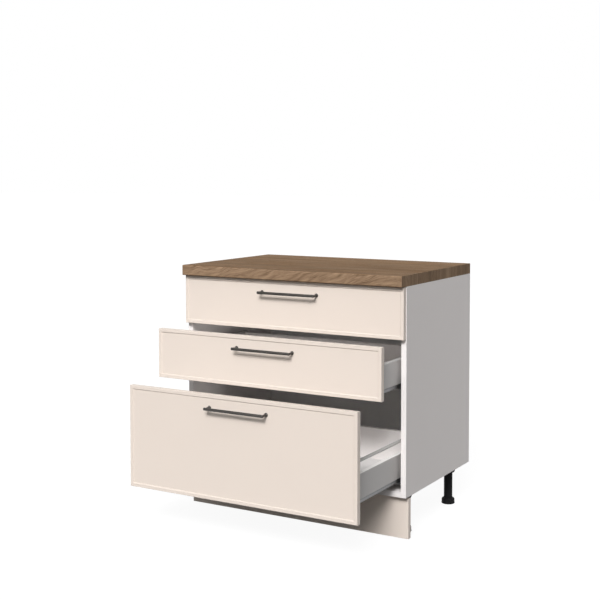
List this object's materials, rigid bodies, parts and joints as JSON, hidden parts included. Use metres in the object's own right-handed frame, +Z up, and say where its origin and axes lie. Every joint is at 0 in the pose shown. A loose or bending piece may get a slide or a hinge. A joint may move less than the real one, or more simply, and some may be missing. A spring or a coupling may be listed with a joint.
{
  "type": "kitchen base cabinet with drawers",
  "caption": "Kitchen base cabinet with worktop, framed drawer fronts with bar handles, metal-sided drawers on telescopic runners, plinth panel and adjustable legs.",
  "frame": {"origin": "on the floor at mid width, in the middle of the depth taken with the drawers open as drawn", "axes": "+X to the right of a person facing the fronts, +Y to the wall, +Z up"},
  "size_m": [0.9, 0.942, 0.908],
  "materials": {
    "worktop_laminate": "matt wood-grain laminate",
    "worktop_edge": "matt wood-grain edge strip",
    "white_melamine": "satin melamine on board",
    "back_board": "smooth painted fibreboard",
    "beech": "bare beech",
    "front_lacquer": "satin cream lacquer",
    "coated_steel": "fine powder coat",
    "galvanised_steel": "galvanised",
    "zinc": "zinc plated",
    "handle_metal": "satin gunmetal",
    "black_plastic": "moulded, fine texture",
    "white_plastic": "moulded, satin",
    "nylon": "natural nylon"
  },
  "bodies": {
    "cabinet": {"worktop": "worktop_laminate", "worktop_end_strips": "worktop_edge", "side_panel_left": "white_melamine", "side_panel_right": "white_melamine", "bottom_panel": "white_melamine", "back_panel": "back_board", "front_top_rail": "white_melamine", "rear_top_rail": "white_melamine", "dowels": "beech", "cam_fittings": "zinc", "carcass_screws": "zinc", "worktop_screws": "zinc", "leg_sockets": "black_plastic", "leg_columns": "black_plastic", "plinth_panel": "front_lacquer", "plinth_clip_tracks": "black_plastic", "plinth_clips": "black_plastic", "cabinet_rail_glides": "nylon", "drawer_1_cabinet_rails": "galvanised_steel", "drawer_2_cabinet_rails": "galvanised_steel", "drawer_3_cabinet_rails": "galvanised_steel"},
    "foot_front_left": {"leg_foot_front_left": "black_plastic"},
    "foot_front_right": {"leg_foot_front_right": "black_plastic"},
    "foot_rear_left": {"leg_foot_rear_left": "black_plastic"},
    "foot_rear_right": {"leg_foot_rear_right": "black_plastic"},
    "drawer_1_runners": {"drawer_1_middle_rails": "galvanised_steel", "drawer_1_middle_glides": "nylon"},
    "drawer_1": {"drawer_1_front": "front_lacquer", "drawer_1_handle": "handle_metal", "drawer_1_handle_screws": "zinc", "drawer_1_side_left": "coated_steel", "drawer_1_side_right": "coated_steel", "drawer_1_base": "white_melamine", "drawer_1_back": "white_melamine", "drawer_1_rails": "galvanised_steel", "drawer_1_front_brackets": "galvanised_steel"},
    "drawer_2_runners": {"drawer_2_middle_rails": "galvanised_steel", "drawer_2_middle_glides": "nylon"},
    "drawer_2": {"drawer_2_front": "front_lacquer", "drawer_2_handle": "handle_metal", "drawer_2_handle_screws": "zinc", "drawer_2_side_left": "coated_steel", "drawer_2_side_right": "coated_steel", "drawer_2_base": "white_melamine", "drawer_2_back": "white_melamine", "drawer_2_rails": "galvanised_steel", "drawer_2_front_brackets": "galvanised_steel"},
    "drawer_3_runners": {"drawer_3_middle_rails": "galvanised_steel", "drawer_3_middle_glides": "nylon"},
    "drawer_3": {"drawer_3_front": "front_lacquer", "drawer_3_handle": "handle_metal", "drawer_3_handle_screws": "zinc", "drawer_3_side_left": "coated_steel", "drawer_3_side_right": "coated_steel", "drawer_3_base": "white_melamine", "drawer_3_back": "white_melamine", "drawer_3_rails": "galvanised_steel", "drawer_3_front_brackets": "galvanised_steel", "drawer_3_gallery_rails": "coated_steel", "drawer_3_gallery_holders": "white_plastic"}
  },
  "joints": [
    {"name": "drawer_1_slide", "type": "slide", "parent": "cabinet", "child": "drawer_1", "axis": [0, -1, 0], "range_m": [0, 0.48]},
    {"name": "drawer_1_runner_slide", "type": "slide", "parent": "cabinet", "child": "drawer_1_runners", "axis": [0, -1, 0], "range_m": [0, 0.24]},
    {"name": "drawer_2_slide", "type": "slide", "parent": "cabinet", "child": "drawer_2", "axis": [0, -1, 0], "range_m": [-0.1655, 0.3145]},
    {"name": "drawer_2_runner_slide", "type": "slide", "parent": "cabinet", "child": "drawer_2_runners", "axis": [0, -1, 0], "range_m": [-0.08275, 0.15725]},
    {"name": "drawer_3_slide", "type": "slide", "parent": "cabinet", "child": "drawer_3", "axis": [0, -1, 0], "range_m": [-0.331, 0.149]},
    {"name": "drawer_3_runner_slide", "type": "slide", "parent": "cabinet", "child": "drawer_3_runners", "axis": [0, -1, 0], "range_m": [-0.1655, 0.0745]},
    {"name": "foot_front_left_turn", "type": "hinge", "parent": "cabinet", "child": "foot_front_left", "pos_m": [-0.394, 0.0175, 0], "axis": [0, 0, 1], "range_deg": [-1800, 1800]},
    {"name": "foot_front_right_turn", "type": "hinge", "parent": "cabinet", "child": "foot_front_right", "pos_m": [0.394, 0.0175, 0], "axis": [0, 0, 1], "range_deg": [-1800, 1800]},
    {"name": "foot_rear_left_turn", "type": "hinge", "parent": "cabinet", "child": "foot_rear_left", "pos_m": [-0.394, 0.405, 0], "axis": [0, 0, 1], "range_deg": [-1800, 1800]},
    {"name": "foot_rear_right_turn", "type": "hinge", "parent": "cabinet", "child": "foot_rear_right", "pos_m": [0.394, 0.405, 0], "axis": [0, 0, 1], "range_deg": [-1800, 1800]}
  ],
  "couplings": [
    {"joint": "drawer_1_runner_slide", "follows": "drawer_1_slide", "ratio": 0.5},
    {"joint": "drawer_2_runner_slide", "follows": "drawer_2_slide", "ratio": 0.5},
    {"joint": "drawer_3_runner_slide", "follows": "drawer_3_slide", "ratio": 0.5}
  ]
}
